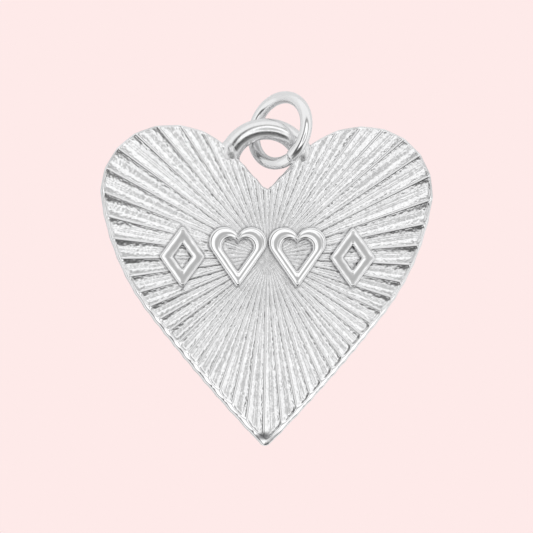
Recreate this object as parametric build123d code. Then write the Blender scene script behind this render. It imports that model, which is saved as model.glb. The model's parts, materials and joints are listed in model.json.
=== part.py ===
from build123d import *

import math
import os

# Heart pendant with a sunburst face, four raised motifs, a bail loop and a jump ring.
# Millimetres. The pendant lies on its back: +Z out of the face, +Y towards the bail,
# +X to the right. The origin is on the back face, below the centre of the sunburst.

FULL_TURN = 360.0

# ---- driving dimensions ----
PLATE_THICKNESS = 2.0
FACE_EDGE_RADIUS = 0.3
BACK_EDGE_RADIUS = 0.15

# One half of the heart, from the tip upwards: arcs that follow on from each other.
TIP_Y = -12.68
TIP_HEADING = 45.5
TIP_RADIUS = 0.4
FLANK_RADIUS, FLANK_TURN = 102.0, 6.5
WAIST_RADIUS, WAIST_TURN = 16.6, 28.7
SIDE_RADIUS, SIDE_TURN = 4.38, 87.0
LOBE_RADIUS, LOBE_TURN = 5.48, 59.8
SHOULDER_LENGTH = 3.03

# Sunburst: crests run out from the origin, channels are cut between them.
FLUTES = 53
PITCH_SWING = 0.05
BURST_TURN = -0.8
CREST_WIDTH = 0.16
FLUTE_SLOPE = 1.5
FLUTE_LENGTH = 13.5

# Raised motifs, set in one row across the middle of the face.
MOTIF_HEIGHT = 0.8
MOTIF_STROKE = 0.74
MOTIF_EDGE_RADIUS = 0.2
MOTIF_ROW_Y = -0.05
LOZENGE_X = 5.62
LOZENGE_WIDTH = 3.04
LOZENGE_HEIGHT = 4.2
LOZENGE_CORNER = 0.2
HEART_X = 1.96
HEART_LOBE_X = 0.9
HEART_LOBE_Y = 0.97
HEART_LOBE_RADIUS = 1.0
HEART_TIP_Y = -2.06
HEART_TIP_RADIUS = 0.15
HEART_OPENING = 0.54
HEART_OPENING_Y = 0.34

# Bail: a round wire arch that bridges the notch and leans a little off the table.
BAIL_CENTRE = (-0.08, 6.03, 1.1)
BAIL_RISE = 18.0
BAIL_RADIUS = 2.53
BAIL_WIRE_RADIUS = 0.7
BAIL_FOOT_ANGLE = 10.0
BAIL_TOP_ANGLE = 90.0
BAIL_HALF_TURN = 150.0
SOLDER_START_ANGLE = 10.0
SOLDER_END_ANGLE = 110.0
SOLDER_THICKNESS = 0.1
SOLDER_REACH = 0.2
SOLDER_OVERLAP = 0.16

# Jump ring: round wire, sawn through once, the two cut ends a little out of line.
RING_CENTRE = (0.8, 8.35, 2.1)
RING_RADIUS = 2.25
RING_WIRE_RADIUS = 0.4
RING_LEAN = 17.4
RING_TILT = 45.0
SEAM_ANGLE = -133.0
SEAM_GAP_ANGLE = 3.0
SEAM_STEP = 0.12


def heading(degrees):
    return (math.cos(math.radians(degrees)), math.sin(math.radians(degrees)))


def heart_outline():
    """The plate's outline as one face on z = 0."""
    angle = TIP_HEADING
    start = (0.0, TIP_Y)
    edges = []
    arcs = (
        (FLANK_RADIUS, FLANK_TURN),
        (WAIST_RADIUS, WAIST_TURN),
        (SIDE_RADIUS, SIDE_TURN),
        (LOBE_RADIUS, LOBE_TURN),
    )
    for radius, turn in arcs:
        arc = JernArc(start=start, tangent=heading(angle), radius=radius, arc_size=turn)
        edges.append(arc)
        start = (arc @ 1).X, (arc @ 1).Y
        angle += turn
    step = heading(angle)
    foot = (start[0] + SHOULDER_LENGTH * step[0], start[1] + SHOULDER_LENGTH * step[1])
    edges.append(Line(start, foot))
    # The notch bottom is an arc that meets both shoulders smoothly.
    half_turn = angle - 180.0
    notch_radius = foot[0] / math.sin(math.radians(half_turn))
    drop = notch_radius * (1.0 - math.cos(math.radians(half_turn)))
    mirrored = [mirror(edge, about=Plane.YZ) for edge in edges]
    notch = ThreePointArc(foot, (0.0, foot[1] - drop), (-foot[0], foot[1]))
    outline = make_face(Wire.combine(edges + [notch] + mirrored)[0])
    tip = outline.vertices().sort_by(Axis.Y)[0]
    return fillet(tip, TIP_RADIUS)


def plate_blank():
    """The heart plate with its rounded edges, before the sunburst is cut."""
    blank = extrude(heart_outline(), amount=PLATE_THICKNESS)
    rim = blank.faces().sort_by(Axis.Z)[-1].outer_wire().edges()
    blank = fillet(rim, FACE_EDGE_RADIUS)
    back = blank.faces().sort_by(Axis.Z)[0].outer_wire().edges()
    return fillet(back, BACK_EDGE_RADIUS)


def crest_angle(index):
    """Direction of one crest; the flutes are closer together at the tip and the notch."""
    turn = 2.0 * math.pi * index / FLUTES
    start = math.radians(BURST_TURN) - math.pi / 2.0
    return start + turn - PITCH_SWING * math.sin(2.0 * turn)


def flute_cutter(index):
    """A slim cone that leaves one channel between two crests of even width."""
    first = crest_angle(index)
    second = crest_angle(index + 1)
    middle = (first + second) / 2.0
    half_pitch = (second - first) / 2.0
    slope = math.radians(FLUTE_SLOPE)
    rise = math.atan((math.cos(slope) - math.cos(half_pitch)) / math.sin(slope))
    half_angle = rise + slope
    reach = CREST_WIDTH / 2.0 / math.sin(half_pitch)
    apex = (reach * math.cos(middle), reach * math.sin(middle), PLATE_THICKNESS)
    axis = (
        math.cos(middle) * math.cos(rise),
        math.sin(middle) * math.cos(rise),
        math.sin(rise),
    )
    profile = Polyline((0, 0), (FLUTE_LENGTH * math.tan(half_angle), FLUTE_LENGTH))
    profile += Polyline((0, 0), (0, FLUTE_LENGTH))
    profile += Polyline((0, FLUTE_LENGTH), (FLUTE_LENGTH * math.tan(half_angle), FLUTE_LENGTH))
    cone = revolve(make_face(Plane.XZ * profile), axis=Axis.Z)
    return Plane(origin=apex, z_dir=axis) * cone


def heart_plate():
    plate = plate_blank()
    for index in range(FLUTES):
        plate = plate - flute_cutter(index)
    return plate


def raised(outline, opening, x):
    """A raised outline motif: a band round an opening, with rounded top edges."""
    motif = extrude(outline - opening, amount=MOTIF_HEIGHT)
    top = motif.faces().sort_by(Axis.Z)[-1].edges()
    motif = fillet(top, MOTIF_EDGE_RADIUS)
    return Pos(x, MOTIF_ROW_Y, PLATE_THICKNESS) * motif


def lozenge(x):
    half_width = LOZENGE_WIDTH / 2.0
    half_height = LOZENGE_HEIGHT / 2.0
    corners = [(half_width, 0), (0, half_height), (-half_width, 0), (0, -half_height)]
    outline = make_face(Polyline(*corners, close=True))
    outline = fillet(outline.vertices(), LOZENGE_CORNER)
    return raised(outline, offset(outline, amount=-MOTIF_STROKE), x)


def small_heart_outline():
    """Two round lobes and the straight sides that run from them to the tip."""
    reach = math.hypot(HEART_LOBE_X, HEART_LOBE_Y - HEART_TIP_Y)
    to_lobe = math.atan2(HEART_LOBE_Y - HEART_TIP_Y, HEART_LOBE_X)
    side = to_lobe - math.asin(HEART_LOBE_RADIUS / reach)
    length = math.sqrt(reach**2 - HEART_LOBE_RADIUS**2)
    touch = (length * math.cos(side), HEART_TIP_Y + length * math.sin(side))
    cleft = math.sqrt(HEART_LOBE_RADIUS**2 - HEART_LOBE_X**2)
    corners = (
        (0, HEART_TIP_Y),
        touch,
        (HEART_LOBE_X, HEART_LOBE_Y),
        (0, HEART_LOBE_Y + cleft),
        (-HEART_LOBE_X, HEART_LOBE_Y),
        (-touch[0], touch[1]),
    )
    outline = make_face(Polyline(*corners, close=True))
    for side_x in (-HEART_LOBE_X, HEART_LOBE_X):
        outline = outline + Pos(side_x, HEART_LOBE_Y) * Circle(HEART_LOBE_RADIUS)
    tip = outline.vertices().sort_by(Axis.Y)[0]
    return fillet(tip, HEART_TIP_RADIUS)


def small_heart(x):
    outline = small_heart_outline()
    opening = Pos(0, HEART_OPENING_Y) * scale(Pos(0, -HEART_OPENING_Y) * outline, HEART_OPENING)
    return raised(outline, opening, x)


def bail_wire(first, last, radius):
    """Part of the bail's round arch, between two angles measured from +X."""
    lean = Plane(BAIL_CENTRE, x_dir=(1, 0, 0), z_dir=Vector(0, 0, 1).rotate(Axis.X, BAIL_RISE))
    turned = Location((0, 0, 0), (0, 0, first))
    section = Plane.XZ * Pos(BAIL_RADIUS, 0) * Circle(radius)
    wire = revolve(section, axis=Axis.Z, revolution_arc=last - first)
    return lean * (turned * wire)


def bail_loop(blank):
    arch = bail_wire(BAIL_FOOT_ANGLE, 180.0 - BAIL_FOOT_ANGLE, BAIL_WIRE_RADIUS)
    return (arch - blank).solids().sort_by(SortBy.VOLUME)[-1]


def bail_solder(blank, side):
    """A low collar of solder round one foot of the arch: side is 1 on the left, -1 on the right."""
    ends = (
        BAIL_TOP_ANGLE + side * SOLDER_START_ANGLE,
        BAIL_TOP_ANGLE + side * SOLDER_END_ANGLE,
    )
    sleeve = bail_wire(min(ends), max(ends), BAIL_WIRE_RADIUS + SOLDER_THICKNESS)
    outline = heart_outline()
    near = extrude(offset(outline, amount=SOLDER_REACH), amount=2.0 * PLATE_THICKNESS)
    far = extrude(offset(outline, amount=-SOLDER_OVERLAP), amount=2.0 * PLATE_THICKNESS)
    wire = bail_wire(
        BAIL_TOP_ANGLE - BAIL_HALF_TURN, BAIL_TOP_ANGLE + BAIL_HALF_TURN, BAIL_WIRE_RADIUS
    )
    collar = (sleeve & (near - far)) - wire - blank
    return collar.solids().sort_by(SortBy.VOLUME)[-1]


def ring_axes():
    """The ring's own directions: along its long lean, across it, and its normal."""
    lean = math.radians(RING_LEAN)
    tilt = math.radians(RING_TILT)
    along = Vector(math.sin(lean), math.cos(lean), 0)
    across = Vector(
        math.cos(lean) * math.cos(tilt),
        -math.sin(lean) * math.cos(tilt),
        math.sin(tilt),
    )
    return along, across, along.cross(across)


def jump_ring():
    along, across, normal = ring_axes()
    first = math.radians(SEAM_ANGLE + SEAM_GAP_ANGLE / 2.0)
    turn = (FULL_TURN - SEAM_GAP_ANGLE) / FULL_TURN
    outward = along * math.cos(first) + across * math.sin(first)
    base = Plane(
        origin=Vector(*RING_CENTRE) + normal * (SEAM_STEP / 2.0),
        x_dir=outward,
        z_dir=-normal,
    )
    # Seen along -normal the ring runs clockwise from the seam, so the coil is left-handed.
    path = Helix(
        pitch=SEAM_STEP / turn,
        height=SEAM_STEP,
        radius=RING_RADIUS,
        lefthand=True,
    )
    section = Plane(origin=path @ 0, z_dir=path % 0) * Circle(RING_WIRE_RADIUS)
    wire = sweep(section, path=path, is_frenet=True)
    return base * wire


def main():
    os.makedirs("parts", exist_ok=True)
    blank = plate_blank()
    nodes = {
        "heart_plate": heart_plate(),
        "ornament_lozenge_left": lozenge(-LOZENGE_X),
        "ornament_heart_left": small_heart(-HEART_X),
        "ornament_heart_right": small_heart(HEART_X),
        "ornament_lozenge_right": lozenge(LOZENGE_X),
        "bail_loop": bail_loop(blank),
        "bail_solder_left": bail_solder(blank, 1),
        "bail_solder_right": bail_solder(blank, -1),
        "jump_ring": jump_ring(),
    }
    for name, solid in nodes.items():
        export_step(solid, f"parts/{name}.step")


main()
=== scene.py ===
import json
import math
from types import SimpleNamespace

import bmesh
import bpy
import numpy as np
from mathutils import Matrix, Vector, noise

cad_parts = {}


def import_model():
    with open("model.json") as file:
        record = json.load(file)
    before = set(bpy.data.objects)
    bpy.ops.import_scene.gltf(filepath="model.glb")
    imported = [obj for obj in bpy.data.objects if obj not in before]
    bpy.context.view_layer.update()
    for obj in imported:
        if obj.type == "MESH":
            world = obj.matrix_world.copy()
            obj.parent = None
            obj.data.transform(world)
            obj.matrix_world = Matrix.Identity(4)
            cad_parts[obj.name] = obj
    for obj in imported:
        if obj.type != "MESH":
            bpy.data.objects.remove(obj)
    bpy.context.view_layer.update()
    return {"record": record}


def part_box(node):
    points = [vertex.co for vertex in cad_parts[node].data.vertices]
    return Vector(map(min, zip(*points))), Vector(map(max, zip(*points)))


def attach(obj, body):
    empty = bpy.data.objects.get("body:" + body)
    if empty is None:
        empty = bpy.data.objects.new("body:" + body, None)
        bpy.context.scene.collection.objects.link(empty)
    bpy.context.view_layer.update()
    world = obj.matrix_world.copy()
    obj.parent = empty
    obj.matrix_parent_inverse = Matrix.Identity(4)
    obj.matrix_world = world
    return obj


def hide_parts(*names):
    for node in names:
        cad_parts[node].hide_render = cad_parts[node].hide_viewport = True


# Silver heart pendant: sunburst plate, four raised motifs, bail, solder collars and jump ring.
# Lengths are in millimetres up to the point where a mesh is written, in metres.
# The origin lies on the plate's back, straight below the sunburst's centre.
MM = 0.001

# ---- the plate's outline: arcs that follow on from each other, from the tip upwards ----
TIP_Y = -12.68
TIP_HEADING = 45.5
TIP_RADIUS = 0.4
FLANK_RADIUS, FLANK_TURN = 102.0, 6.5
WAIST_RADIUS, WAIST_TURN = 16.6, 28.7
SIDE_RADIUS, SIDE_TURN = 4.38, 87.0
LOBE_RADIUS, LOBE_TURN = 5.48, 59.8
SHOULDER_LENGTH = 3.03
OUTLINE_STEP = 0.03
CORNER_POINTS = 24
NOTCH_POINTS = 30

# ---- sunburst ----
FLUTES = 53
PITCH_SWING = 0.05
BURST_TURN = -0.014
CREST_EDGE = 0.05
CREST_DROP = 0.008
CREST_FULL_WIDTH = 0.3
CREST_PLACES = (0.35, 0.7, 1.0)
CHANNEL_PLACES = (0.07, 0.16, 0.28, 0.41, 0.54, 0.66, 0.76, 0.84, 0.92, 1.0)
SHOULDER_DROP = 0.016
SHOULDER_WIDTH = 0.035
SHOULDER_FADE = (0.05, 0.2)
CREST_LEAST_SHARE = 0.5
CHANNEL_SLOPE = 0.238
SIDE_SLOPE = 0.04
RIM_SLOPE = 0.125
RIM_SLOPE_REACH = 1.3
RIGHT_SLOPE = -0.02
BOWL_POWER = 1.9
RIM_POWER_DROP = 0.6
RIDGE_SHARE = 0.2
RIDGE_WIDTH = 0.15
FLUTE_VARIATION = 0.22
VARIATION_LENGTH = 4.0
VARIATION_STEP = 3.7
CENTRE_FADE = (0.7, 3.0)
CENTRE_DEPTH_SHARE = 0.3
HUB_RADIUS = 0.15
RIM_BAND = 0.1
LOWER_BAND = 0.16
LOWER_FADE = (0.1, 0.7)
TIP_BAND = 0.16
TIP_BAND_REACH = 1.1
SCOOP_LENGTH = 0.22
SCOOP_HOOK = 0.05
OPEN_ENDS = 0.85
OPEN_FADE = (0.2, 0.55)
# Painted shade: dark colour at the flutes' ends near the rim, in a spot near the tip and round the
# motifs' feet.
TIP_POCKET_CENTRE = (-0.12, -11.84)
TIP_POCKET = (0.5, 0.27)
POCKET_SHADE = 0.95
RIM_SHADE_STRENGTH = 1.5
RIM_SHADE_DEPTH = 0.12
RIM_SHADE_MEAN, RIM_SHADE_SPREAD = 0.25, 1.2
FOOT_SHADE_STRENGTH = 0.6
FOOT_SHADE = 0.09
FOOT_REACH = 0.3
RIM_ROWS = (0, 0.01, 0.03, 0.055, 0.085, 0.12, 0.16, 0.2)
RIM_ROWS += (0.24, 0.28, 0.33, 0.38, 0.44, 0.51, 0.6, 0.7)
RIM_SEARCH, RIM_SEARCH_ROWS = 1.4, 57
RIM_SEARCH_RADIUS = 9.0
INNER_DISTANCE = 6.0
SCALLOP_DEPTH = 0.045
SCALLOP_SAG = 0.012
SCALLOP_REACH = 0.3
RIM_ROUND = 0.1
BEVEL_SLOPE = 0.2
BACK_ROUND = 0.15
BACK_SHARES = (0.02, 0.3, 0.6, 0.85, 0.95)
BACK_TURNS = (0.0, 22.5, 45.0, 67.5, 90.0)
WALL_SHARES = (0.2, 0.45, 0.7, 0.9)
RADIAL_ROWS = 150
GRAIN_SIZE = 0.2
GRAIN_HEIGHT = 0.005
FINE_GRAIN_SIZE, FINE_GRAIN_SHARE = 0.55, 0.6
CENTRE_GRAIN = 0.9
CENTRE_GRAIN_FADE = (1.5, 4.5)
SATIN_FADE = (0.02, 0.2)
STREAK_LENGTH = 1.1
STREAK_WIDTH = 0.15
STREAK_HEIGHT = 0.0009
CHANNEL_SPACING = 5.3
WAVER_SIZE = 1.1
WAVER_HEIGHT = 0.006

# ---- raised motifs ----
MOTIF_STROKE = 0.74
MOTIF_ROUND = 0.13
MOTIF_CROWN = 0.02
MOTIF_SINK = 0.12
LOZENGE_HALF = (1.52, 2.1)
LOZENGE_CORNER = 0.2
HEART_LOBE_X, HEART_LOBE_Y, HEART_LOBE_RADIUS = 0.9, 0.97, 1.0
HEART_TIP_Y = -2.06
HEART_TIP_RADIUS = 0.15
HEART_OPENING = 0.54
HEART_OPENING_Y = 0.34
MOTIF_COLUMNS = 288
LOBE_POINTS = 120

# ---- bail ----
BAIL_CENTRE = (-0.08, 6.03, 1.1)
BAIL_RISE = 18.0
BAIL_RADIUS = 2.53
BAIL_WIRE = 0.7
BAIL_FOOT_ANGLE = 7.0
SOLDER_THICKNESS = 0.055
SOLDER_REACH = 0.3
SOLDER_ROOT_DROP = 0.02
SOLDER_EDGE_SINK = 0.004
SOLDER_ROWS = (-2.2, -1.2, -0.5, 0.0, 0.1, 0.22, 0.36, 0.52, 0.7, 0.88, 1.0, 1.02)
SOLDER_COLUMNS = 64

# ---- jump ring ----
RING_RADIUS = 2.25
RING_WIRE = 0.4
SEAM_ANGLE = -133.0
SEAM_GAP_ANGLE = 3.0
SEAM_STEP = 0.12
CUT_BEVEL = 0.05
CUT_BEVEL_DEPTH = 0.7
RING_SECTIONS = 169
BAIL_SECTIONS = 97
WIRE_COLUMNS = 48

# ---- finish: bump heights in millimetres, noise scales per millimetre ----
SATIN_DULL = (0.8, 0.8, 0.805, 1.0)
SATIN_BRIGHT = (0.96, 0.96, 0.965, 1.0)
CREST_SILVER = (0.95, 0.95, 0.955, 1.0)
# Painted shade colour, mixed in at the flutes' ends, the tip's pocket and the motifs' feet.
PAINTED_SHADE_COLOUR = (0.12, 0.12, 0.125, 1.0)
SATIN_ROUGHNESS = (0.15, 0.28)
CREST_ROUGHNESS = 0.07
CREST_GRAIN = 0.02
TONE_SCALE = 1.2
SPECKLE_SCALE = 9.0
GRAIN_SCALE = 5.5
GRAIN_BUMP = 0.02
STREAK_SCALE = (1.3, 8.0, 1.0)
STREAK_BUMP = 0.003
POLISH_DULL = 0.9
POLISH_TONE_SCALE = 0.5
MARK_SCALE = 6.0
DENT_SCALE, DENT_BUMP = 1.3, 0.02
WHEEL_SCALE, WHEEL_BUMP = 14.0, 0.0006

# ---- view ----
VIEW_DISTANCE = 300.0
VIEW_WIDTH = 35.43
VIEW_CENTRE = (0.09, -0.62, 0.0)
VIEW_FROM_LEFT = 3.5
VIEW_FROM_FRONT = 1.0
VIEW_ROLL = 0.38
SENSOR = 36.0
CLIP_NEAR, CLIP_FAR = 0.01, 20.0

# ---- surroundings ----
FLOOR_SIZE = 8000.0
PINK_SHEET_HEIGHT = -0.02
WHITE_SHEET_HEIGHT = -0.05
FLOOR_COLOUR = (0.991, 0.823, 0.815, 1.0)
WHITE_SHEET = (0.88, 0.88, 0.88, 1.0)
WHITE_SHEET_GLOW = 0.15
ROOF_OPENING_SHIFT = -0.1
CARD_TURN = 0.2
CARD_EDGE = (-0.82, -0.96)
SIDE_BLEND = 0.7
LEAST_LEVEL = 0.001

# Brightness of the light tent by angle from straight overhead, in degrees.
TENT_LIT_SIDE = (
    (0.0, 0.48),
    (10.0, 0.56),
    (14.0, 1.15),
    (30.0, 1.22),
    (34.0, 0.38),
    (42.0, 0.38),
    (48.0, 0.95),
    (86.0, 0.95),
)
TENT_DIM_SIDE = (
    (0.0, 0.48),
    (10.0, 0.56),
    (14.0, 1.15),
    (28.0, 1.2),
    (31.0, 0.12),
    (46.0, 0.14),
    (52.0, 0.95),
    (78.0, 0.95),
    (86.0, 0.8),
)
TENT_FRONT = (
    (0.0, 0.48),
    (10.0, 0.56),
    (14.0, 1.05),
    (23.0, 1.1),
    (28.0, 0.08),
    (44.0, 0.09),
    (52.0, 0.2),
    (66.0, 0.25),
    (74.0, 0.6),
    (86.0, 0.5),
)


def smoothstep(low, high, value):
    t = np.clip((value - low) / (high - low), 0.0, 1.0)
    return t * t * (3.0 - 2.0 * t)


# ---- meshes ----


def grid_object(name, points, material, wrap_rows=False, first_cap=False, last_cap=False):
    """A smooth mesh through points[row, column]; every row is a closed loop of columns."""
    rows, columns = points.shape[:2]
    verts = points.reshape(-1, 3)
    index = np.arange(rows * columns).reshape(rows, columns)
    if wrap_rows:
        index = np.vstack([index, index[:1]])
    ahead = np.roll(index, -1, axis=1)
    quads = np.stack([index[:-1], ahead[:-1], ahead[1:], index[1:]], axis=-1).reshape(-1, 4)
    faces = [tuple(quad) for quad in quads.tolist()]
    for wanted, row in ((first_cap, 0), (last_cap, rows - 1)):
        if wanted:
            hub = len(verts)
            verts = np.vstack([verts, points[row].mean(axis=0)])
            ring = [row * columns + column for column in range(columns)]
            faces += [(ring[c], ring[(c + 1) % columns], hub) for c in range(columns)]
    mesh = bpy.data.meshes.new(name)
    mesh.from_pydata((verts * MM).tolist(), [], faces)
    shell = bmesh.new()
    shell.from_mesh(mesh)
    bmesh.ops.recalc_face_normals(shell, faces=shell.faces)
    shell.to_mesh(mesh)
    shell.free()
    mesh.polygons.foreach_set("use_smooth", [True] * len(mesh.polygons))
    mesh.materials.append(material)
    piece = bpy.data.objects.new(name, mesh)
    bpy.context.scene.collection.objects.link(piece)
    return piece


def set_attribute(piece, name, values):
    """A number on every point of the mesh, for its material to read."""
    full = np.zeros(len(piece.data.vertices), np.float32)
    full[: values.size] = values.ravel()
    layer = piece.data.attributes.new(name, "FLOAT", "POINT")
    layer.data.foreach_set("value", full)


def set_places(piece, name, places):
    """A position on every point of the mesh, for its material's patterns to follow."""
    full = np.zeros((len(piece.data.vertices), 3), np.float32)
    flat = places.reshape(-1, 3)
    full[: len(flat)] = flat
    layer = piece.data.attributes.new(name, "FLOAT_VECTOR", "POINT")
    layer.data.foreach_set("vector", full.ravel())


def noise_field(points, size, seed):
    """Smooth noise, about -1 to 1, at every point; seed shifts the pattern."""
    shift = Vector((seed * 7.31, seed * 3.17, seed * 1.93))
    flat = (points / size).reshape(-1, 3)
    values = [noise.noise(Vector(p) + shift) for p in flat.tolist()]
    return np.array(values).reshape(points.shape[:-1])


# ---- outlines ----


def heading(degrees):
    return np.array([math.cos(math.radians(degrees)), math.sin(math.radians(degrees))])


def on_circle(radius, angles):
    """Points at the radius, or radii, in the directions given in radians."""
    return np.stack([radius * np.cos(angles), radius * np.sin(angles)], axis=-1)


def arc_points(start, angle, radius, turn):
    """Points along an arc that starts at a heading and bends left, its end and new heading."""
    centre = start + radius * heading(angle + 90.0)
    count = max(3, int(math.radians(turn) * radius / OUTLINE_STEP))
    sweep = np.radians(angle - 90.0 + np.linspace(0.0, turn, count))
    points = centre + on_circle(radius, sweep)
    return points, points[-1], angle + turn


def rounded(corner, before, after, radius):
    """The arc that rounds a corner between two directions that point away from it."""
    half = math.acos(float(np.dot(before, after))) / 2.0
    middle = (before + after) / np.linalg.norm(before + after)
    centre = corner + middle * radius / math.sin(half)
    first = centre - corner - before * radius / math.tan(half)
    start = math.atan2(-first[1], -first[0])
    last = centre - corner - after * radius / math.tan(half)
    end = math.atan2(-last[1], -last[0])
    turn = (end - start + math.pi) % (2.0 * math.pi) - math.pi
    sweep = start + np.linspace(0.0, turn, CORNER_POINTS)
    return centre + on_circle(radius, sweep)


def mirrored(half):
    """A closed outline from its right half, tip first."""
    other = half[::-1] * np.array([-1.0, 1.0])
    return np.vstack([half, other])


def plate_outline():
    """The heart's outline, anticlockwise from the tip."""
    point = np.array([0.0, TIP_Y])
    angle = TIP_HEADING
    ahead = heading(angle)
    tip = rounded(point, heading(180.0 - angle), ahead, TIP_RADIUS)
    parts = [tip[tip[:, 0] > 0.0]]
    touch = TIP_RADIUS / math.tan(math.radians(90.0 - TIP_HEADING))
    for radius, turn in (
        (FLANK_RADIUS, FLANK_TURN),
        (WAIST_RADIUS, WAIST_TURN),
        (SIDE_RADIUS, SIDE_TURN),
        (LOBE_RADIUS, LOBE_TURN),
    ):
        points, point, angle = arc_points(point, angle, radius, turn)
        far = np.linalg.norm(points - np.array([0.0, TIP_Y]), axis=1) > touch
        parts.append(points[far])
    step = heading(angle)
    along = np.linspace(0.0, SHOULDER_LENGTH, int(SHOULDER_LENGTH / OUTLINE_STEP))[:, None]
    parts.append(point + along * step)
    foot = parts[-1][-1]
    half_turn = angle - 180.0
    radius = foot[0] / math.sin(math.radians(half_turn))
    bend = np.radians(np.linspace(half_turn, 0.0, NOTCH_POINTS))
    centre_y = foot[1] + radius * math.cos(math.radians(half_turn))
    parts.append(np.stack([radius * np.sin(bend), centre_y - radius * np.cos(bend)], axis=1))
    return mirrored(np.vstack(parts))


def lozenge_outline():
    """The lozenge with rounded corners, anticlockwise from its lowest corner."""
    half_width, half_height = LOZENGE_HALF
    corners = [
        np.array([0.0, -half_height]),
        np.array([half_width, 0.0]),
        np.array([0.0, half_height]),
        np.array([-half_width, 0.0]),
    ]
    parts = []
    for index, corner in enumerate(corners):
        before = corners[index - 1] - corner
        after = corners[(index + 1) % len(corners)] - corner
        before = before / np.linalg.norm(before)
        after = after / np.linalg.norm(after)
        parts.append(rounded(corner, before, after, LOZENGE_CORNER))
    return np.vstack(parts)


def small_heart_outline():
    """Two straight sides from a rounded tip, each running into a round lobe."""
    reach = math.hypot(HEART_LOBE_X, HEART_LOBE_Y - HEART_TIP_Y)
    to_lobe = math.atan2(HEART_LOBE_Y - HEART_TIP_Y, HEART_LOBE_X)
    side = to_lobe - math.asin(HEART_LOBE_RADIUS / reach)
    ahead = np.array([math.cos(side), math.sin(side)])
    corner = np.array([0.0, HEART_TIP_Y])
    tip = rounded(corner, ahead * np.array([-1.0, 1.0]), ahead, HEART_TIP_RADIUS)
    cleft = math.acos(-HEART_LOBE_X / HEART_LOBE_RADIUS)
    sweep = np.linspace(side - math.pi / 2.0, cleft, LOBE_POINTS)
    lobe = np.array([HEART_LOBE_X, HEART_LOBE_Y]) + on_circle(HEART_LOBE_RADIUS, sweep)
    return mirrored(np.vstack([tip[tip[:, 0] > 0.0], lobe]))


def even_outline(outline, columns):
    """The same closed outline with points at even steps along it."""
    closed = np.vstack([outline, outline[:1]])
    lengths = np.concatenate([[0.0], np.cumsum(np.linalg.norm(np.diff(closed, axis=0), axis=1))])
    wanted = np.linspace(0.0, lengths[-1], columns, endpoint=False)
    return np.stack([np.interp(wanted, lengths, closed[:, axis]) for axis in (0, 1)], axis=1)


def outline_distance(points, outline, count=3000, block=4000):
    """Distance in the plane from every point to the outline."""
    fine = even_outline(outline, count)
    flat = points.reshape(-1, 2)
    nearest = np.empty(len(flat))
    for start in range(0, len(flat), block):
        part = flat[start : start + block]
        squares = (part[:, None, 0] - fine[None, :, 0]) ** 2
        squares += (part[:, None, 1] - fine[None, :, 1]) ** 2
        nearest[start : start + block] = squares.min(axis=1)
    return np.sqrt(nearest).reshape(points.shape[:-1])


# ---- sunburst plate ----


def crest_angle(index):
    """Direction of one crest; the flutes are closer together at the tip and the notch."""
    turn = 2.0 * math.pi * index / FLUTES
    return BURST_TURN - math.pi / 2.0 + turn - PITCH_SWING * math.sin(2.0 * turn)


def outline_radius(outline, angles):
    """Distance from the sunburst's centre to the outline in each direction."""
    around = np.arctan2(outline[:, 1], outline[:, 0])
    order = np.argsort(around)
    radii = np.linalg.norm(outline, axis=1)[order]
    around = around[order]
    turned = (angles + math.pi) % (2.0 * math.pi) - math.pi
    return np.interp(turned, around, radii, period=2.0 * math.pi)


def flute_columns():
    """For every column of the mesh: crest direction, half pitch, side, and place across."""
    columns = []
    for index in range(FLUTES):
        here = crest_angle(index)
        before = (here - crest_angle(index - 1)) / 2.0
        after = (crest_angle(index + 1) - here) / 2.0
        columns += [(here, before, -1.0, 1.0, q) for q in CHANNEL_PLACES[-2::-1]]
        columns += [(here, before, -1.0, p, 0.0) for p in CREST_PLACES[::-1]]
        columns += [(here, after, 1.0, 0.0, 0.0)]
        columns += [(here, after, 1.0, p, 0.0) for p in CREST_PLACES]
        columns += [(here, after, 1.0, 1.0, q) for q in CHANNEL_PLACES]
    return np.array(columns)


def across_flute(columns, radius):
    """Angle of every column at a radius, half the flute's width and the place across it."""
    crest, half_pitch, side, on_crest, in_channel = columns.T
    width = np.maximum(radius * half_pitch, 1e-6)
    edge = np.minimum(CREST_EDGE, CREST_LEAST_SHARE * width)
    offset = edge * on_crest + (width - edge) * in_channel
    return crest + side * offset / radius, width, side * (offset - width)


def plate_rows(columns, outline):
    """Radius of every row in every column: rows that follow the rim, then rows to the hub."""
    angles = across_flute(columns, RIM_SEARCH_RADIUS)[0]
    reach = outline_radius(outline, angles)
    depths = np.linspace(0.0, RIM_SEARCH, RIM_SEARCH_ROWS)
    radii = reach[None, :] - depths[:, None]
    angle_grid = np.stack([across_flute(columns, row)[0] for row in radii])
    distance = outline_distance(on_circle(radii, angle_grid), outline)
    distance[0] = 0.0
    distance = np.maximum.accumulate(distance, axis=0)
    rim_radii = np.stack(
        [np.interp(RIM_ROWS, distance[:, c], radii[:, c]) for c in range(len(columns))], axis=1
    )
    inner = np.linspace(1.0, 0.0, RADIAL_ROWS)[1:, None]
    inner_radii = HUB_RADIUS + (rim_radii[-1] - HUB_RADIUS) * inner
    return np.vstack([rim_radii, inner_radii])


def channel_shape(place, power, ridge_share):
    """Depth across half a channel: an arc from crest to middle, with a low ridge in it."""
    bowl = 1.0 - (1.0 - place) ** power
    return bowl - ridge_share * np.exp(-(((1.0 - place) / RIDGE_WIDTH) ** 2))


def shoulder(in_channel, widths):
    """The short steep drop beside every crest."""
    away = in_channel[None, :] * widths
    full = smoothstep(*SHOULDER_FADE, widths)
    return SHOULDER_DROP * (1.0 - np.exp(-away / SHOULDER_WIDTH)) * full


def channel_numbers(columns):
    """The channel that every column lies in."""
    per_flute = len(columns) // FLUTES
    crest = np.arange(len(columns)) // per_flute
    return (crest - (columns[:, 2] < 0.0)) % FLUTES


def variation(numbers, radii, seed):
    """A slow change along every channel, different in each, about -1 to 1."""
    flat = np.zeros_like(radii)
    places = np.dstack([radii / VARIATION_LENGTH, VARIATION_STEP * numbers + flat, flat])
    return noise_field(places, 1.0, seed)


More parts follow.
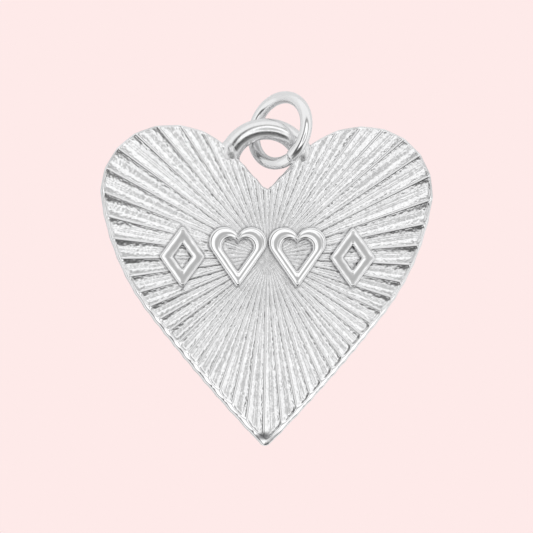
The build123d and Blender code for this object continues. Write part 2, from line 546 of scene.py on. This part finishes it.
def foot_shade(points, feet):
    """How far every point of the face lies in the painted shade of the dark crevice round a
    motif's foot.
    """
    shade = np.zeros(points.shape[:-1])
    for foot in feet:
        low, high = foot.min(axis=0) - FOOT_REACH, foot.max(axis=0) + FOOT_REACH
        near = ((points > low) & (points < high)).all(axis=-1)
        gap = outline_distance(points[near], foot, 800)
        shade[near] = np.maximum(shade[near], np.exp(-((gap / FOOT_SHADE) ** 2)))
    return shade


def face_grid():
    """The face's mesh points seen from above, with their places in the flutes."""
    outline = plate_outline()
    columns = flute_columns()
    radii = plate_rows(columns, outline)
    grids = [across_flute(columns, row) for row in radii]
    angles, widths, across = (np.stack(values) for values in zip(*grids))
    points = on_circle(radii, angles)
    distance = np.minimum(outline_distance(points, outline), INNER_DISTANCE)
    distance[0] = 0.0
    return SimpleNamespace(
        radii=radii,
        angles=angles,
        widths=widths,
        across=across,
        points=points,
        distance=distance,
        on_crest=columns[:, 3],
        in_channel=columns[:, 4],
        numbers=channel_numbers(columns)[None, :],
        centre_fade=smoothstep(*CENTRE_FADE, radii),
    )


def channel_depth(face):
    """Depth of the channel's middle at every point, and its shape from crest to middle."""
    sideways = (face.points[..., 0] / face.radii) ** 2
    near_rim = sideways * np.exp(-face.distance / RIM_SLOPE_REACH)
    steep = CHANNEL_SLOPE + sideways * SIDE_SLOPE
    steep = steep + RIM_SLOPE * near_rim
    steep = steep * (1.0 + RIGHT_SLOPE * face.points[..., 0] / face.radii)
    steep = steep * (1.0 + FLUTE_VARIATION * variation(face.numbers, face.radii, 4.0))
    power = BOWL_POWER - RIM_POWER_DROP * near_rim
    fade = CENTRE_DEPTH_SHARE + (1.0 - CENTRE_DEPTH_SHARE) * face.centre_fade
    depth = face.widths * steep * fade / power
    ridge = RIDGE_SHARE * (1.0 + variation(face.numbers, face.radii, 5.0))
    shape = channel_shape(face.in_channel[None, :], power, ridge) * (face.in_channel > 0.0)
    return depth, shape


def blind_ends(face):
    """Width of the plain border, and how far the flutes have reached their depth inside it."""
    to_tip = np.linalg.norm(face.points - np.array([0.0, TIP_Y]), axis=-1)
    upward = face.points[..., 1] / face.radii
    border = RIM_BAND + LOWER_BAND * smoothstep(*LOWER_FADE, -upward)
    border = border + TIP_BAND * np.exp(-((to_tip / TIP_BAND_REACH) ** 2))
    border = border + SCOOP_HOOK * (1.0 - face.in_channel[None, :]) ** 2
    scoop = smoothstep(0.0, 1.0, (face.distance - border) / SCOOP_LENGTH)
    scoop = scoop + (1.0 - scoop) * OPEN_ENDS * smoothstep(*OPEN_FADE, upward)
    return border, scoop


def rim_rounding(face, border):
    """How far the surface falls towards the rim."""
    fall = np.clip(1.0 - face.distance / RIM_ROUND, 0.0, 1.0)
    rounding = RIM_ROUND * (1.0 - np.sqrt(np.maximum(0.0, 1.0 - fall**2)))
    return rounding + BEVEL_SLOPE * np.maximum(border - face.distance, 0.0)


def channel_places(face):
    """Places that run along each channel and across it, apart from every other channel's."""
    channels = CHANNEL_SPACING * face.numbers + np.zeros_like(face.radii)
    return np.dstack([face.radii, face.across, channels])


def cast_surface(face):
    """Grain, streaks and unevenness of the channels' floors."""
    flat_points = np.dstack([face.points, np.zeros_like(face.distance)])
    grain = noise_field(flat_points, GRAIN_SIZE, 1.0)
    grain += FINE_GRAIN_SHARE * noise_field(flat_points, GRAIN_SIZE * FINE_GRAIN_SIZE, 2.0)
    waver = noise_field(flat_points, WAVER_SIZE, 3.0)
    streak_scale = np.array([STREAK_LENGTH, STREAK_WIDTH, 1.0])
    streak = noise_field(channel_places(face) / streak_scale, 1.0, 6.0)
    coarse = 1.0 + CENTRE_GRAIN * (1.0 - smoothstep(*CENTRE_GRAIN_FADE, face.radii))
    lift = GRAIN_HEIGHT * grain * coarse + STREAK_HEIGHT * streak
    return lift + WAVER_HEIGHT * waver * face.centre_fade


def painted_recess_shade(face, points, depth, scoop, feet):
    """Painted shade: the silver's colour darkened at the flutes' ends, in the tip's pocket and
    round the motifs' feet.
    """
    crescent = RIM_SHADE_STRENGTH * scoop * (1.0 - scoop) * np.minimum(1.0, depth / RIM_SHADE_DEPTH)
    crescent = crescent * (face.in_channel > 0.0)
    changing = RIM_SHADE_MEAN + RIM_SHADE_SPREAD * variation(face.numbers, face.moved_radii, 8.0)
    crescent = crescent * np.clip(changing, 0.0, 1.0)
    off_pocket = (points - np.array(TIP_POCKET_CENTRE)) / np.array(TIP_POCKET)
    pocket = POCKET_SHADE * np.exp(-((off_pocket**2).sum(axis=-1) ** 2))
    return np.maximum(np.maximum(crescent, pocket), FOOT_SHADE_STRENGTH * foot_shade(points, feet))


def sunburst_plate(material, top, feet):
    """The fluted face, rim, wall and back as one closed mesh."""
    face = face_grid()
    depth, shape = channel_depth(face)
    border, scoop = blind_ends(face)
    body = np.clip(shape, 0.0, 1.0)
    groove = (depth * shape + shoulder(face.in_channel, face.widths)) * scoop
    groove = groove + SCALLOP_SAG * body * (1.0 - scoop)
    crest_width = np.minimum(1.0, face.widths / CREST_FULL_WIDTH)
    crest = CREST_DROP * (face.on_crest**2)[None, :] * crest_width * scoop
    rough = smoothstep(*SATIN_FADE, face.in_channel)[None, :] * scoop
    height = top - groove - crest - rim_rounding(face, border) + cast_surface(face) * rough

    scallop = body * (1.0 - smoothstep(0.0, SCALLOP_REACH, face.distance))
    face.moved_radii = face.radii - SCALLOP_DEPTH * scallop
    points = on_circle(face.moved_radii, face.angles)
    surface = np.dstack([points, height])
    wall = wall_rows(surface[0])
    rows = np.concatenate([wall, surface])
    plate = grid_object("plate", rows, material, first_cap=True, last_cap=True)
    plain = np.zeros(wall.shape[:2])
    # Painted shade, kept on the mesh for the material to darken its colour.
    painted_shade = painted_recess_shade(face, points, depth, scoop, feet)
    set_attribute(plate, "polish", np.vstack([plain + 1.0, 1.0 - rough]))
    set_attribute(plate, "painted_shade", np.vstack([plain, painted_shade]))
    set_places(plate, "flute_place", np.concatenate([np.zeros_like(wall), channel_places(face)]))
    return plate


def wall_rows(edge):
    """Rows from the middle of the back, round its edge and up the wall to the face."""
    reach = np.linalg.norm(edge[:, :2], axis=1)
    rows = []
    for share in BACK_SHARES:
        rows.append(np.stack([share * edge[:, 0], share * edge[:, 1], 0.0 * reach], axis=1))
    for turn in np.radians(BACK_TURNS):
        inset = BACK_ROUND * (1.0 - math.sin(turn))
        rise = BACK_ROUND * (1.0 - math.cos(turn))
        share = 1.0 - inset / reach
        rows.append(np.stack([share * edge[:, 0], share * edge[:, 1], rise + 0.0 * reach], axis=1))
    for share in WALL_SHARES:
        rise = BACK_ROUND + share * (edge[:, 2] - BACK_ROUND)
        rows.append(np.stack([edge[:, 0], edge[:, 1], rise], axis=1))
    return np.stack(rows)


# ---- motifs ----


def lozenge_pair():
    """Outer and inner outline of the lozenge; the stroke is the same on all four sides."""
    half_width, half_height = LOZENGE_HALF
    slant = math.hypot(half_width, half_height)
    shrink = 1.0 - MOTIF_STROKE * slant / (half_width * half_height)
    outer = even_outline(lozenge_outline(), MOTIF_COLUMNS)
    return outer, outer * shrink


def small_heart_pair():
    """Outer and inner outline of the small heart."""
    outer = even_outline(small_heart_outline(), MOTIF_COLUMNS)
    pivot = np.array([0.0, HEART_OPENING_Y])
    return outer, pivot + (outer - pivot) * HEART_OPENING


def band(name, pair, bottom, top, material):
    """A raised band between two outlines, with rounded edges and a faintly crowned top."""
    outer, inner = pair
    stroke = np.linalg.norm(inner - outer, axis=1).min()
    turns = np.radians(np.linspace(0.0, 90.0, 9))
    inset = MOTIF_ROUND * (1.0 - np.cos(turns))
    drop = MOTIF_ROUND * (1.0 - np.sin(turns))
    across = np.concatenate([[0.0, 0.0], inset / stroke])
    height = np.concatenate([[bottom, (bottom + top) / 2.0], top - drop])
    flat = np.linspace(across[-1], 1.0 - across[-1], 7)[1:-1]
    crown = MOTIF_CROWN * (1.0 - ((flat - 0.5) / (0.5 - across[-1])) ** 2)
    across = np.concatenate([across, flat, 1.0 - across[::-1]])
    height = np.concatenate([height, top - MOTIF_CROWN + crown, height[::-1]])
    height[2 : 2 + len(turns)] -= MOTIF_CROWN
    height[-2 - len(turns) : -2] -= MOTIF_CROWN
    rows = []
    for share, rise in zip(across, height):
        flat_row = outer + (inner - outer) * share
        rows.append(np.column_stack([flat_row, np.full(len(outer), rise)]))
    return grid_object(name, np.stack(rows), material, wrap_rows=True)


# ---- wires ----


def tube(name, centres, sideways, radius, material, closed_ends=True):
    """A round wire through centres; sideways is each section's first direction."""
    ahead = np.gradient(centres, axis=0)
    ahead /= np.linalg.norm(ahead, axis=1)[:, None]
    sideways = sideways - (sideways * ahead).sum(axis=1)[:, None] * ahead
    sideways /= np.linalg.norm(sideways, axis=1)[:, None]
    other = np.cross(ahead, sideways)
    turns = np.linspace(0.0, 2.0 * math.pi, WIRE_COLUMNS, endpoint=False)
    radius = np.broadcast_to(radius, (len(centres),))
    rows = [
        centres[i]
        + radius[i] * (np.cos(turns)[:, None] * sideways[i] + np.sin(turns)[:, None] * other[i])
        for i in range(len(centres))
    ]
    return grid_object(name, np.stack(rows), material, first_cap=closed_ends, last_cap=closed_ends)


def bail_axes():
    """Right, up along the tilted arch, and the arch's normal."""
    rise = math.radians(BAIL_RISE)
    right = np.array([1.0, 0.0, 0.0])
    up = np.array([0.0, math.cos(rise), math.sin(rise)])
    return right, up, np.cross(right, up)


def along_bail(degrees):
    """Outward directions and centre line of the arch at angles from its right end."""
    right, up, _ = bail_axes()
    turn = np.radians(degrees)[:, None]
    outward = np.cos(turn) * right + np.sin(turn) * up
    return outward, np.array(BAIL_CENTRE) + BAIL_RADIUS * outward


def bail(material):
    degrees = np.linspace(BAIL_FOOT_ANGLE, 180.0 - BAIL_FOOT_ANGLE, BAIL_SECTIONS)
    outward, centres = along_bail(degrees)
    return tube("bail", centres, outward, BAIL_WIRE, material)


def wall_crossings(side, turns):
    """Angle from the arch's end at which each line along the wire leaves the plate."""
    outline = plate_outline()
    normal = bail_axes()[2]
    places = np.linspace(0.0, 80.0, 321)
    degrees = places if side > 0 else 180.0 - places
    outward, centres = along_bail(degrees)
    crossings = []
    for turn in turns:
        surface = centres + BAIL_WIRE * (math.cos(turn) * outward + math.sin(turn) * normal)
        outside = ~inside_outline(surface[:, :2], outline)
        crossings.append(places[int(np.argmax(outside))])
    return np.array(crossings)


def solder_thickness(share):
    """Thickness over the wire, from the wall (0) to the collar's end (1); the root sinks in."""
    thickness = SOLDER_THICKNESS * max(0.0, 1.0 - max(share, 0.0)) ** 2
    if share > 0.99:
        thickness -= SOLDER_EDGE_SINK
    return thickness - SOLDER_ROOT_DROP * max(0.0, -share)


def solder(name, side, material):
    """A concave fillet of solder where one foot of the bail meets the plate's wall."""
    normal = bail_axes()[2]
    turns = np.linspace(0.0, 2.0 * math.pi, SOLDER_COLUMNS, endpoint=False)
    starts = wall_crossings(side, turns)
    reach = math.degrees(SOLDER_REACH / BAIL_RADIUS)
    rows = []
    for share in SOLDER_ROWS:
        place = starts + share * reach
        outward, middle = along_bail(place if side > 0 else 180.0 - place)
        out = np.cos(turns)[:, None] * outward + np.sin(turns)[:, None] * normal
        rows.append(middle + (BAIL_WIRE + solder_thickness(share)) * out)
    return grid_object(name, np.stack(rows), material, first_cap=True, last_cap=True)


def inside_outline(points, outline):
    """Whether each point lies inside the outline, by counting crossings to its right."""
    ahead = np.roll(outline, -1, axis=0)
    above = outline[None, :, 1] > points[:, None, 1]
    above_next = ahead[None, :, 1] > points[:, None, 1]
    run = ahead - outline
    rise = np.where(np.abs(run[:, 1]) < 1e-12, 1e-12, run[:, 1])
    crossing = outline[:, 0] + (points[:, None, 1] - outline[:, 1]) * run[:, 0] / rise
    hits = (above != above_next) & (crossing > points[:, None, 0])
    return hits.sum(axis=1) % 2 == 1


def ring_axes(mount):
    """Centre of the ring and two directions in its plane, with its normal."""
    centre = np.array(mount["pos_m"]) / MM
    normal = -np.array(mount["axis"])
    normal /= np.linalg.norm(normal)
    along = np.cross(normal, np.array([0.0, 0.0, 1.0]))
    along *= math.copysign(1.0, along[1]) / np.linalg.norm(along)
    return centre, along, np.cross(normal, along), normal


def jump_ring(mount, material):
    """The ring of round wire, its two sawn ends a little apart and out of line."""
    centre, along, across, normal = ring_axes(mount)
    turn = 360.0 - SEAM_GAP_ANGLE
    bevel = math.degrees(CUT_BEVEL / RING_RADIUS)
    cut = np.array([0.0, bevel * 0.3, bevel])
    wire = np.linspace(bevel * 2.0, turn - bevel * 2.0, RING_SECTIONS)
    places = np.concatenate([cut, wire, turn - cut[::-1]])
    degrees = np.radians(SEAM_ANGLE + SEAM_GAP_ANGLE / 2.0 + places)
    out = np.cos(degrees)[:, None] * along + np.sin(degrees)[:, None] * across
    step = (0.5 - places / turn) * SEAM_STEP
    centres = centre + RING_RADIUS * out + step[:, None] * normal
    to_end = np.minimum(places, turn - places)
    narrowed = np.clip(1.0 - to_end / bevel, 0.0, 1.0) ** 2
    radius = RING_WIRE - CUT_BEVEL * CUT_BEVEL_DEPTH * narrowed
    return tube("jump_ring_wire", centres, out, radius, material)


# ---- materials ----


def new_material(name):
    material = bpy.data.materials.new(name)
    material.use_nodes = True
    tree = material.node_tree
    return material, tree, tree.nodes["Principled BSDF"]


def add_noise(tree, scale, detail, place, seed):
    """Noise at a scale per millimetre; seed picks the pattern."""
    texture = tree.nodes.new("ShaderNodeTexNoise")
    texture.noise_dimensions = "4D"
    texture.inputs["W"].default_value = seed
    texture.inputs["Scale"].default_value = scale / MM
    texture.inputs["Detail"].default_value = detail
    tree.links.new(place, texture.inputs["Vector"])
    return texture.outputs["Fac"]


def add_range(tree, value, low, high, to_low, to_high):
    """The value carried from one range to another, held at its ends."""
    node = tree.nodes.new("ShaderNodeMapRange")
    for socket, number in (
        ("From Min", low),
        ("From Max", high),
        ("To Min", to_low),
        ("To Max", to_high),
    ):
        node.inputs[socket].default_value = number
    tree.links.new(value, node.inputs["Value"])
    return node.outputs["Result"]


def add_mix(tree, share, first, second):
    """A colour between two, each a colour or a socket."""
    node = tree.nodes.new("ShaderNodeMix")
    node.data_type = "RGBA"
    colours = [socket for socket in node.inputs if socket.type == "RGBA"]
    for socket, colour in zip(colours, (first, second)):
        if isinstance(colour, tuple):
            socket.default_value = colour
        else:
            tree.links.new(colour, socket)
    tree.links.new(share, node.inputs["Factor"])
    return next(socket for socket in node.outputs if socket.type == "RGBA")


def add_math(tree, operation, first, second=0.0):
    """A sum on two values, each a number or a socket."""
    node = tree.nodes.new("ShaderNodeMath")
    node.operation = operation
    for socket, value in zip(node.inputs, (first, second)):
        if isinstance(value, float):
            socket.default_value = value
        else:
            tree.links.new(value, socket)
    return node.outputs["Value"]


def add_bump(tree, height, distance, under=None):
    """A bump of a height in millimetres, over another one if given."""
    node = tree.nodes.new("ShaderNodeBump")
    node.inputs["Distance"].default_value = distance * MM
    node.inputs["Strength"].default_value = 1.0
    tree.links.new(height, node.inputs["Height"])
    if under is not None:
        tree.links.new(under, node.inputs["Normal"])
    return node.outputs["Normal"]


def read_attribute(tree, name, output="Fac"):
    node = tree.nodes.new("ShaderNodeAttribute")
    node.attribute_name = name
    return node.outputs[output]


def object_place(tree):
    return tree.nodes.new("ShaderNodeTexCoord").outputs["Object"]


def polished_silver(name, shade, roughness, seed):
    """Hand-polished silver: faint tone changes, fine wheel marks, soft dents."""
    material, tree, surface = new_material(name)
    place = object_place(tree)
    tone = add_noise(tree, POLISH_TONE_SCALE, 3.0, place, seed)
    light = (shade, shade, shade * 1.004, 1.0)
    dull = (shade * POLISH_DULL, shade * POLISH_DULL, shade * (POLISH_DULL + 0.005), 1.0)
    tree.links.new(add_mix(tree, tone, dull, light), surface.inputs["Base Color"])
    marks = add_noise(tree, MARK_SCALE, 4.0, place, seed + 1.0)
    marked = add_range(tree, marks, 0.35, 0.65, roughness * 0.7, roughness * 1.4)
    tree.links.new(marked, surface.inputs["Roughness"])
    dents = add_noise(tree, DENT_SCALE, 1.0, place, seed + 2.0)
    wheel = add_noise(tree, WHEEL_SCALE, 2.0, place, seed + 3.0)
    dented = add_bump(tree, dents, DENT_BUMP)
    tree.links.new(add_bump(tree, wheel, WHEEL_BUMP, under=dented), surface.inputs["Normal"])
    surface.inputs["Metallic"].default_value = 1.0
    return material


def plate_colour(tree, place, polish):
    """Satin with faint tone changes, brighter crests and painted shade in the recesses."""
    tone = add_noise(tree, TONE_SCALE, 3.0, place, 5.0)
    satin = add_mix(tree, tone, SATIN_DULL, SATIN_BRIGHT)
    bright = add_mix(tree, polish, satin, CREST_SILVER)
    # Painted shade: near-black silver mixed in at the flutes' ends, the tip's pocket and the
    # motifs' feet.
    return add_mix(tree, read_attribute(tree, "painted_shade"), bright, PAINTED_SHADE_COLOUR)


def plate_roughness(tree, place, polish):
    """Speckled satin in the channels, polish on the crests and the rim."""
    speckle = add_noise(tree, SPECKLE_SCALE, 3.0, place, 6.0)
    rough = tree.nodes.new("ShaderNodeMix")
    rough.data_type = "FLOAT"
    rough.inputs["B"].default_value = CREST_ROUGHNESS
    tree.links.new(polish, rough.inputs["Factor"])
    tree.links.new(add_range(tree, speckle, 0.3, 0.7, *SATIN_ROUGHNESS), rough.inputs["A"])
    return rough.outputs["Result"]


def plate_bump(tree, place, polish):
    """Cast grain over streaks that run along the channels."""
    unpolished = add_range(tree, polish, 0.0, 1.0, 1.0, CREST_GRAIN)
    grain = add_math(tree, "MULTIPLY", add_noise(tree, GRAIN_SCALE, 0.5, place, 7.0), unpolished)
    follow = tree.nodes.new("ShaderNodeMapping")
    follow.inputs["Scale"].default_value = tuple(scale * MM for scale in STREAK_SCALE)
    tree.links.new(read_attribute(tree, "flute_place", "Vector"), follow.inputs["Vector"])
    streaks = add_noise(tree, 1.0, 2.0, follow.outputs["Vector"], 8.0)
    streaks = add_math(tree, "MULTIPLY", streaks, unpolished)
    brushed = add_bump(tree, streaks, STREAK_BUMP)
    return add_bump(tree, grain, GRAIN_BUMP, under=brushed)


def plate_silver():
    """Satin in the channels, with cast grain and streaks along them; polished crests and rim."""
    material, tree, surface = new_material("plate_silver")
    place = object_place(tree)
    polish = read_attribute(tree, "polish")
    tree.links.new(plate_colour(tree, place, polish), surface.inputs["Base Color"])
    tree.links.new(plate_roughness(tree, place, polish), surface.inputs["Roughness"])
    tree.links.new(plate_bump(tree, place, polish), surface.inputs["Normal"])
    surface.inputs["Metallic"].default_value = 1.0
    return material


# ---- surroundings ----


def set_ramp(ramp, stops):
    """Brightness by angle from straight overhead, in degrees."""
    elements = ramp.color_ramp.elements
    while len(elements) > 1:
        elements.remove(elements[-1])
    elements[0].position = stops[0][0] / 90.0
    elements[0].color = (stops[0][1],) * 3 + (1.0,)
    for degrees, level in stops[1:]:
        element = elements.new(degrees / 90.0)
        element.color = (level,) * 3 + (1.0,)


def tent_ramp(tree, place, stops):
    ramp = tree.nodes.new("ShaderNodeValToRGB")
    set_ramp(ramp, stops)
    tree.links.new(place, ramp.inputs["Fac"])
    return ramp.outputs["Color"]


def tent_directions(tree):
    """Angle from overhead (1 at the horizon), and level shares towards the back and the right."""
    direction = tree.nodes.new("ShaderNodeTexCoord").outputs["Generated"]
    tilt = tree.nodes.new("ShaderNodeVectorRotate")
    tilt.rotation_type = "Y_AXIS"
    tilt.inputs["Angle"].default_value = ROOF_OPENING_SHIFT
    tree.links.new(direction, tilt.inputs["Vector"])
    split = tree.nodes.new("ShaderNodeSeparateXYZ")
    tree.links.new(tilt.outputs["Vector"], split.inputs["Vector"])
    zenith = add_math(tree, "ARCCOSINE", split.outputs["Z"])
    place = add_math(tree, "DIVIDE", zenith, math.pi / 2.0)
    level = add_math(tree, "ADD", add_math(tree, "SINE", zenith), LEAST_LEVEL)
    towards_back = add_math(tree, "DIVIDE", split.outputs["Y"], level)
    towards_right = add_math(tree, "DIVIDE", split.outputs["X"], level)
    return place, towards_back, towards_right


def light_tent():
    """A white light tent: bright roof with a grey opening, dark gap, bright walls, front card."""
    world = bpy.data.worlds.new("light_tent")
    bpy.context.scene.world = world
    world.use_nodes = True
    tree = world.node_tree
    place, towards_back, towards_right = tent_directions(tree)
    lit_side = tent_ramp(tree, place, TENT_LIT_SIDE)
    dim_side = tent_ramp(tree, place, TENT_DIM_SIDE)
    front = tent_ramp(tree, place, TENT_FRONT)
    right_back = add_math(tree, "ADD", towards_back, towards_right)
    side = add_range(tree, right_back, -SIDE_BLEND, SIDE_BLEND, 0.0, 1.0)
    across_card = add_math(tree, "MULTIPLY", towards_right, CARD_TURN)
    facing_card = add_math(tree, "SUBTRACT", towards_back, across_card)
    card = add_range(tree, facing_card, *CARD_EDGE, 0.0, 1.0)
    around = add_mix(tree, side, dim_side, lit_side)
    background = tree.nodes["Background"]
    background.inputs["Strength"].default_value = 1.0
    tree.links.new(add_mix(tree, card, around, front), background.inputs["Color"])


def flat_sheet(name, height):
    """A large sheet that lies flat at a height, with its shader."""
    material, _, surface = new_material(name)
    surface.inputs["Specular IOR Level"].default_value = 0.0
    surface.inputs["Roughness"].default_value = 1.0
    half = FLOOR_SIZE * MM / 2.0
    mesh = bpy.data.meshes.new(name)
    corners = [(-half, -half, 0.0), (half, -half, 0.0), (half, half, 0.0), (-half, half, 0.0)]
    mesh.from_pydata(corners, [], [(0, 1, 2, 3)])
    mesh.materials.append(material)
    sheet = bpy.data.objects.new(name, mesh)
    sheet.location.z = height * MM
    bpy.context.scene.collection.objects.link(sheet)
    return sheet, surface


def pale_floor():
    """A glowing pink sheet that is only seen, over a white one that is reflected."""
    seen, surface = flat_sheet("pink_sheet", PINK_SHEET_HEIGHT)
    surface.inputs["Base Color"].default_value = (0.0, 0.0, 0.0, 1.0)
    surface.inputs["Emission Color"].default_value = FLOOR_COLOUR
    surface.inputs["Emission Strength"].default_value = 1.0
    seen.visible_glossy = False
    seen.visible_diffuse = False
    seen.visible_shadow = False
    white, surface = flat_sheet("white_sheet", WHITE_SHEET_HEIGHT)
    surface.inputs["Base Color"].default_value = WHITE_SHEET
    surface.inputs["Emission Color"].default_value = WHITE_SHEET
    surface.inputs["Emission Strength"].default_value = WHITE_SHEET_GLOW
    white.visible_camera = False


def add_camera():
    """A long lens almost straight above, a little to the left and front, turned a little."""
    data = bpy.data.cameras.new("camera")
    data.sensor_width = SENSOR
    data.lens = SENSOR * VIEW_DISTANCE / VIEW_WIDTH
    data.clip_start = CLIP_NEAR
    data.clip_end = CLIP_FAR
    camera = bpy.data.objects.new("camera", data)
    bpy.context.scene.collection.objects.link(camera)
    left = math.radians(VIEW_FROM_LEFT)
    front = math.radians(VIEW_FROM_FRONT)
    backward = Vector((-math.sin(left), -math.sin(front), math.cos(left) * math.cos(front)))
    backward.normalize()
    up = Vector((0.0, 1.0, 0.0))
    up = (up - up.dot(backward) * backward).normalized()
    up.rotate(Matrix.Rotation(math.radians(VIEW_ROLL), 3, backward))
    right = up.cross(backward)
    turn = Matrix((right, up, backward)).transposed()
    camera.matrix_world = Matrix.Translation(
        (Vector(VIEW_CENTRE) + backward * VIEW_DISTANCE) * MM
    ) @ turn.to_4x4()
    bpy.context.scene.camera = camera


# ---- assembly ----


def stand_for(piece, node, body):
    """The piece takes the node's place and moves with its body."""
    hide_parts(node)
    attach(piece, body)


def box_centre(node):
    """Centre of a node's box, seen from above."""
    low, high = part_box(node)
    return ((low.x + high.x) / 2.0 / MM, (low.y + high.y) / 2.0 / MM)


def placed_motifs():
    """Every motif's node with its outer and inner outline, where they lie on the plate."""
    lozenge = lozenge_pair()
    heart = small_heart_pair()
    placed = {}
    for node, pair in (
        ("ornament_lozenge_left", lozenge),
        ("ornament_lozenge_right", lozenge),
        ("ornament_heart_left", heart),
        ("ornament_heart_right", heart),
    ):
        middle = (pair[0].min(axis=0) + pair[0].max(axis=0)) / 2.0
        shift = np.array(box_centre(node)) - middle
        placed[node] = (pair[0] + shift, pair[1] + shift)
    return placed


def add_motifs(placed):
    silver = polished_silver("motif_silver", 0.93, 0.09, 20.0)
    for node, pair in placed.items():
        low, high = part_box(node)
        name = node.replace("ornament", "motif")
        piece = band(name, pair, low.z / MM - MOTIF_SINK, high.z / MM, silver)
        stand_for(piece, node, "pendant")


def main():
    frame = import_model()
    bpy.context.scene.view_settings.view_transform = "Standard"
    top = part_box("heart_plate")[1].z / MM
    motifs = placed_motifs()
    feet = [outline for pair in motifs.values() for outline in pair]
    plate = sunburst_plate(plate_silver(), top, feet)
    stand_for(plate, "heart_plate", "pendant")
    add_motifs(motifs)
    bail_silver = polished_silver("bail_silver", 0.95, 0.19, 30.0)
    stand_for(bail(bail_silver), "bail_loop", "pendant")
    solder_silver = polished_silver("solder_silver", 0.95, 0.34, 40.0)
    for side, word in ((-1, "left"), (1, "right")):
        piece = solder(f"solder_{word}", side, solder_silver)
        stand_for(piece, f"bail_solder_{word}", "pendant")
    mounts = {mount["name"]: mount for mount in frame["record"]["mounts"]}
    ring_silver = polished_silver("ring_silver", 0.95, 0.12, 50.0)
    stand_for(jump_ring(mounts["ring_eye"], ring_silver), "jump_ring", "link")
    light_tent()
    pale_floor()
    add_camera()


main()
